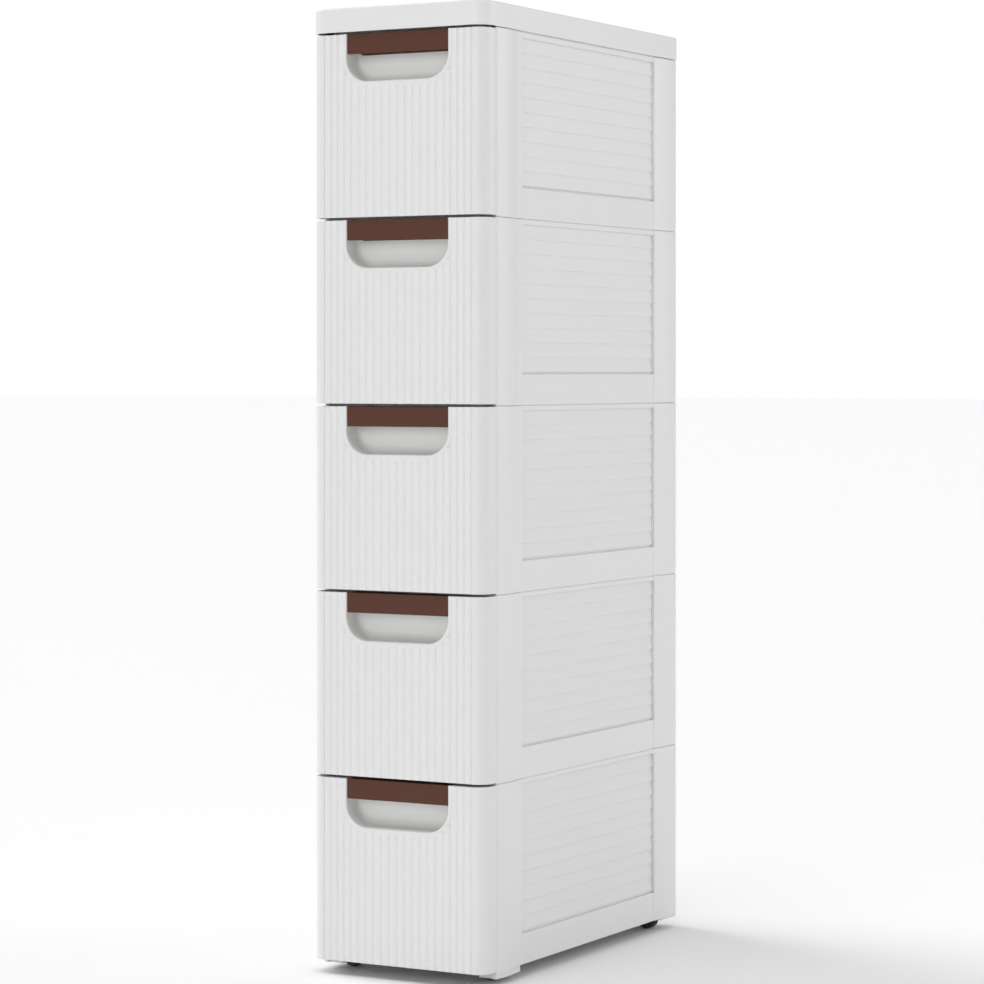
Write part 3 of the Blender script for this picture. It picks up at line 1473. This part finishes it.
@dataclass
class Casters:
    """Four swivel casters: plated fork and pin, and a dull black wheel."""

    trail_angles: tuple[tuple[str, float], ...] = (
        ("front_left", 180.0), ("front_right", 12.0), ("back_left", 168.0), ("back_right", -4.0))
    radius: float = 0.011
    half: float = 0.0045
    tread_r: float = 0.0016
    groove: float = 0.0015  # Half the width of the tread's groove
    hub_r: float = 0.006
    dish: float = 0.001  # Depth of the dish between boss and rim
    bore: float = 0.00155
    boss_r: float = 0.003
    boss_in: float = 0.0001  # How far the boss lies inside the wheel's side
    soft: float = 0.0003
    pin_r: float = 0.0015
    pin_half: float = 0.007
    pin_dome: float = 0.0005
    pin_tip: float = 1e-7

    @staticmethod
    def turned(name: str, section: Sequence[Point], steps: int, closed: bool) -> bpy.types.Object:
        """Turns a section about the Y axis.

        Args:
            name: Name of the new object.
            section: Points as distance from the axis and place along it.
            steps: Number of flats round the axis.
            closed: Whether the section is a closed loop.

        Returns:
            The new object.
        """
        rings = []
        for i in range(steps):
            a = 2 * pi * i / steps
            rings.append([Vector((r * cos(a), y, r * sin(a))) for r, y in section])
        rings.append(rings[0])
        body = loft(rings, closed=closed, low_cap=False, high_cap=False)
        bmesh.ops.remove_doubles(body, verts=body.verts, dist=MERGE / 10)
        return make_object(name, body)

    def wheel(self) -> bpy.types.Object:
        """Turns a wheel with rounded tread edges, a shallow dish and a boss round the bore.

        Returns:
            The wheel, at the origin.
        """
        h, t, e, soft, groove = self.half, self.tread_r, self.boss_in, self.soft, self.groove
        right = [(self.bore, h - e), (self.boss_r - 2 * e, h - e), (self.boss_r, h - 4 * e),
                 (self.boss_r + 2 * e, h - self.dish), (self.hub_r - 4 * e, h - self.dish),
                 (self.hub_r, h - soft), (self.hub_r + soft, h)]
        right += [(self.radius - t + t * sin(a), h - t + t * cos(a)) for a in quarter(6)]
        right += [(self.radius, groove + soft), (self.radius - soft, groove), (self.radius - soft, 0.0)]
        made = self.turned("wheel", right + [(r, -y) for r, y in reversed(right[:-1])], steps=72, closed=True)
        smooth(made, angle=38)
        return made

    def pin(self) -> bpy.types.Object:
        """Turns an axle pin with domed ends.

        Returns:
            The pin, at the origin.
        """
        r, dome = self.pin_r, self.pin_dome
        end = [(max(r * sin(a), self.pin_tip), self.pin_half - dome + dome * cos(a)) for a in quarter(5)]
        made = self.turned("pin", end + [(x, -y) for x, y in reversed(end)], steps=36, closed=False)
        smooth(made, angle=38)
        return made

    def build(self, wardrobe: Wardrobe) -> None:
        """Makes each caster at its own angle.

        Args:
            wardrobe: The finishes.
        """
        for corner, angle in self.trail_angles:
            low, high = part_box(f"caster_wheel_{corner}")
            place = Matrix.Translation((low + high) / 2) @ Matrix.Rotation(radians(angle), 4, "Z")
            for made, slot, body, node in (
                    (self.wheel(), Slot.TREAD, f"wheel_{corner}", f"caster_wheel_{corner}"),
                    (self.pin(), Slot.METAL, f"caster_{corner}", f"caster_axle_{corner}")):
                made.data.transform(place)
                made.name = node + "_look"
                wardrobe.dress(made, slot, body, node)
            fork = refined_copy(f"caster_fork_{corner}", self.soft)
            wardrobe.dress(fork, Slot.METAL, f"caster_{corner}", f"caster_fork_{corner}")


# ---- the studio ----


@dataclass(frozen=True)
class Softbox:
    """One far and soft light: where it stands round the tower, how wide it looks and how strong it is."""

    name: str
    azimuth: float
    elevation: float
    spread: float
    strength: float
    distance: float = 6.0

    def hang(self) -> None:
        """Puts the light up. Azimuth 0 is in front of the drawers and 90 to their right, in degrees."""
        data = bpy.data.lights.new(self.name, "SUN")
        data.angle, data.energy = radians(self.spread), self.strength
        a, e = radians(self.azimuth), radians(self.elevation)
        away = Vector((sin(a) * cos(e), -cos(a) * cos(e), sin(e)))
        made = put(self.name, data)
        made.location = away * self.distance
        made.rotation_euler = away.to_track_quat("Z", "Y").to_euler()


@dataclass
class Studio:
    """Pale floor, bright surroundings, soft lights and the camera of the photograph."""

    camera_place: tuple[float, float, float] = (1.5052, -2.7084, 0.5515)
    azimuth: float = 29.22
    lens: float = 118.3
    film: float = 36.0
    view_depth: float = 100.0
    shift: Point = (-0.0003, -0.1218)
    sky: float = 0.37
    floor_half: float = 60.0
    floor_t: float = 0.01
    floor_tone: tuple[float, float] = (0.95, 0.96)
    lamps: tuple[Softbox, ...] = (
        Softbox("left", -95.0, 36.0, 42.0, 1.50),
        Softbox("front", 1.0, 5.0, 46.0, 1.18),
        Softbox("right", 90.0, 30.0, 60.0, 0.19),
        Softbox("behind", 134.0, 19.0, 34.0, 0.73),
        Softbox("above", -30.0, 80.0, 40.0, 0.87),
    )

    def surroundings(self) -> None:
        """White to the camera, a soft even light to everything else."""
        world = bpy.data.worlds.new("surroundings")
        bpy.context.scene.world = world
        world.use_nodes = True
        wiring = Wiring(world.node_tree)
        world.node_tree.nodes.clear()
        seen = wiring.add("ShaderNodeLightPath").outputs["Is Camera Ray"]
        light = wiring.add("ShaderNodeBackground", {"Color": (1, 1, 1, 1), "Strength": self.sky})
        white = wiring.add("ShaderNodeBackground", {"Color": (1, 1, 1, 1), "Strength": 1.0})
        both = wiring.add("ShaderNodeMixShader", {0: seen, 1: light.outputs[0], 2: white.outputs[0]})
        wiring.add("ShaderNodeOutputWorld", {"Surface": both.outputs[0]})

    def floor(self) -> None:
        """Wide pale floor with a hint of mottling."""
        half, (darkest, palest) = self.floor_half, self.floor_tone
        made = make_object("floor", block((-half, -half, -self.floor_t), (half, half, 0)))
        paint = bpy.data.materials.new("floor_paint")
        paint.use_nodes = True
        wiring = Wiring(paint.node_tree)
        paint.node_tree.nodes.clear()
        place = wiring.add("ShaderNodeTexCoord").outputs["Object"]
        noise = wiring.add("ShaderNodeTexNoise", {"Vector": place, "Scale": 3.0})
        tone = wiring.add("ShaderNodeMapRange",
                          {"Value": noise.outputs["Fac"], "To Min": darkest, "To Max": palest}).outputs[0]
        shade = wiring.add("ShaderNodeCombineColor", {0: tone, 1: tone, 2: tone})
        surface = wiring.add("ShaderNodeBsdfPrincipled", {
            "Base Color": shade.outputs[0], "Roughness": 0.6, "Specular IOR Level": 0.2})
        wiring.add("ShaderNodeOutputMaterial", {"Surface": surface.outputs[0]})
        made.data.materials.append(paint)

    def camera(self) -> None:
        """Level camera, shifted down as the photograph is framed."""
        data = bpy.data.cameras.new("camera")
        data.lens, data.sensor_width = self.lens, self.film
        data.shift_x, data.shift_y = self.shift
        data.clip_end = self.view_depth
        made = put("camera", data)
        made.location = self.camera_place
        made.rotation_euler = (pi / 2, 0, radians(self.azimuth))
        bpy.context.scene.camera = made

    def build(self) -> None:
        """Sets up everything round the tower."""
        bpy.context.scene.view_settings.view_transform = "Standard"
        self.surroundings()
        self.floor()
        for lamp in self.lamps:
            lamp.hang()
        self.camera()


def main() -> None:
    """Builds the tower piece by piece, then the studio round it."""
    logging.basicConfig(level=logging.INFO, format="%(name)s: %(message)s")
    wardrobe = Wardrobe()
    stack, grip = Stack(), Grip()
    for part in (TopCover(stack), SidePanels(stack), DrawerFronts(stack, grip), DrawerBoxes(stack, grip),
                 HandleBars(stack), Carcass(stack), Casters()):
        part.build(wardrobe)
        log.info("%s done", type(part).__name__)
    Studio().build()


if __name__ == "__main__":
    main()
